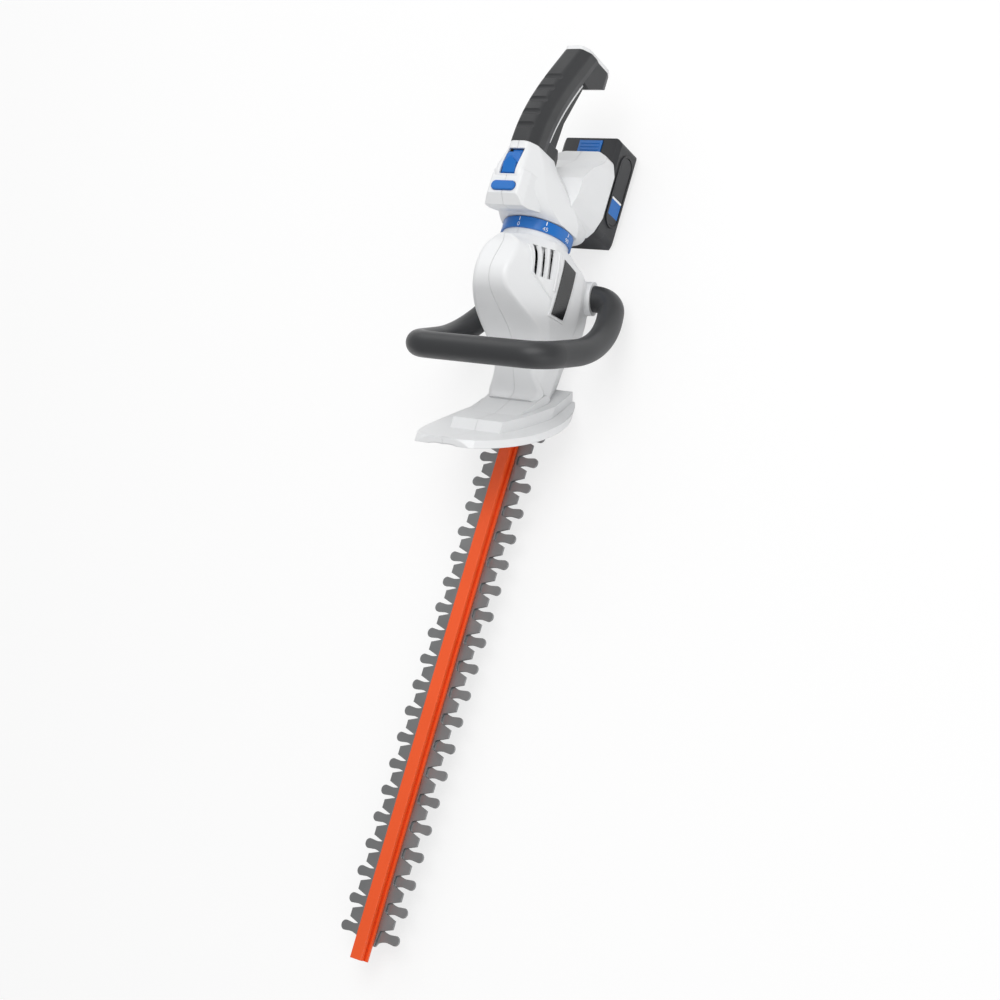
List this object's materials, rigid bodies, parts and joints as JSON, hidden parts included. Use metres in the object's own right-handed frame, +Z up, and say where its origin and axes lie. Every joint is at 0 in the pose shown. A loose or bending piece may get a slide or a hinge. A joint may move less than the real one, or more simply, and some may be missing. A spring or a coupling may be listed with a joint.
{
  "type": "cordless hedge trimmer",
  "caption": "Battery hedge trimmer: double-sided reciprocating blades on a rail, hand guard, wrap-round front handle and a turning rear grip.",
  "frame": {"origin": "bottom centre of the bounding box: on the bench, half way from the grip's end to the rail's tip", "axes": "+X towards the blade's tip, +Y to the tool's left, +Z up"},
  "size_m": [0.9624, 0.2008, 0.177],
  "materials": {
    "white_plastic": "fine satin",
    "black_rubber": "matte soft grip",
    "black_plastic": "fine grain",
    "blue_plastic": "semi-gloss",
    "grey_plastic": "fine grain",
    "orange_rail": "powder coat",
    "blade_steel": "ground",
    "hardware_steel": "zinc plated",
    "cast_aluminium": "as cast",
    "cell_sleeve": "shrink sleeve over a cell of about this density"
  },
  "bodies": {
    "main": {"main_housing_left": "white_plastic", "main_housing_right": "white_plastic", "main_housing_screws": "hardware_steel", "angle_ring": "blue_plastic", "badge_plate": "black_plastic", "front_handle": "black_plastic", "front_handle_pins": "hardware_steel", "front_lead": "black_plastic", "blade_rail": "orange_rail", "blade_support_bar": "blade_steel", "blade_bolts": "hardware_steel", "gear_case_floor": "cast_aluminium", "gear_case_top": "cast_aluminium", "gear_axle": "hardware_steel", "gear_washers": "hardware_steel", "motor_can": "hardware_steel", "motor_end_cap": "black_plastic"},
    "rear_handle": {"rear_housing_left": "white_plastic", "rear_housing_right": "white_plastic", "rear_housing_screws": "hardware_steel", "swivel_hub": "black_plastic", "rear_lead": "black_plastic", "control_switch": "black_plastic", "terminal_block": "black_plastic", "grip_overmould": "black_rubber", "grip_end_cap": "white_plastic", "trigger_pin": "hardware_steel"},
    "trigger": {"trigger": "black_plastic"},
    "lock_off": {"lock_off_slider": "blue_plastic"},
    "release": {"swivel_release": "blue_plastic"},
    "battery": {"pack_lower_case": "black_plastic", "pack_upper_case": "black_plastic", "pack_cells": "cell_sleeve", "pack_trim_left": "grey_plastic", "pack_trim_right": "grey_plastic"},
    "battery_latch": {"pack_latch": "blue_plastic"},
    "upper_blade": {"upper_blade": "blade_steel"},
    "lower_blade": {"lower_blade": "blade_steel"},
    "drive_gear": {"drive_gear": "hardware_steel", "upper_eccentric": "hardware_steel", "lower_eccentric": "hardware_steel"},
    "motor_rotor": {"motor_shaft": "hardware_steel", "motor_rotor": "hardware_steel", "motor_pinion": "hardware_steel"}
  },
  "joints": [
    {"name": "handle_swivel", "type": "hinge", "parent": "main", "child": "rear_handle", "pos_m": [-0.27225, 0, 0.093], "axis": [1, 0, 0], "range_deg": [-90, 90]},
    {"name": "trigger_squeeze", "type": "hinge", "parent": "rear_handle", "child": "trigger", "pos_m": [-0.43725, 0, 0.114], "axis": [0, -1, 0], "range_deg": [0, 4], "stiffness_Nm_per_rad": 6, "springref_deg": -1.72},
    {"name": "lock_off_slide", "type": "slide", "parent": "rear_handle", "child": "lock_off", "axis": [-1, 0, 0], "range_m": [0, 0.005], "stiffness_N_per_m": 500, "springref_m": -0.002},
    {"name": "swivel_release_press", "type": "slide", "parent": "rear_handle", "child": "release", "axis": [0, 0, -1], "range_m": [0, 0.003], "stiffness_N_per_m": 800, "springref_m": -0.002},
    {"name": "battery_slide", "type": "slide", "parent": "rear_handle", "child": "battery", "axis": [-1, 0, 0], "range_m": [0, 0.11]},
    {"name": "battery_latch_press", "type": "slide", "parent": "battery", "child": "battery_latch", "axis": [0, 0, -1], "range_m": [0, 0.003], "stiffness_N_per_m": 800, "springref_m": -0.002},
    {"name": "upper_blade_stroke", "type": "slide", "parent": "main", "child": "upper_blade", "axis": [1, 0, 0], "range_m": [-0.007, 0.007]},
    {"name": "lower_blade_stroke", "type": "slide", "parent": "main", "child": "lower_blade", "axis": [1, 0, 0], "range_m": [-0.007, 0.007]},
    {"name": "drive_gear_spin", "type": "hinge", "parent": "main", "child": "drive_gear", "pos_m": [-0.18675, 0, 0.041], "axis": [0, 0, 1], "continuous": true},
    {"name": "motor_spin", "type": "hinge", "parent": "main", "child": "motor_rotor", "pos_m": [-0.22425, 0, 0.085], "axis": [0, 0, 1], "continuous": true}
  ],
  "couplings": [
    {"joint": "lower_blade_stroke", "follows": "upper_blade_stroke", "ratio": -1},
    {"joint": "motor_spin", "follows": "drive_gear_spin", "ratio": -4}
  ]
}
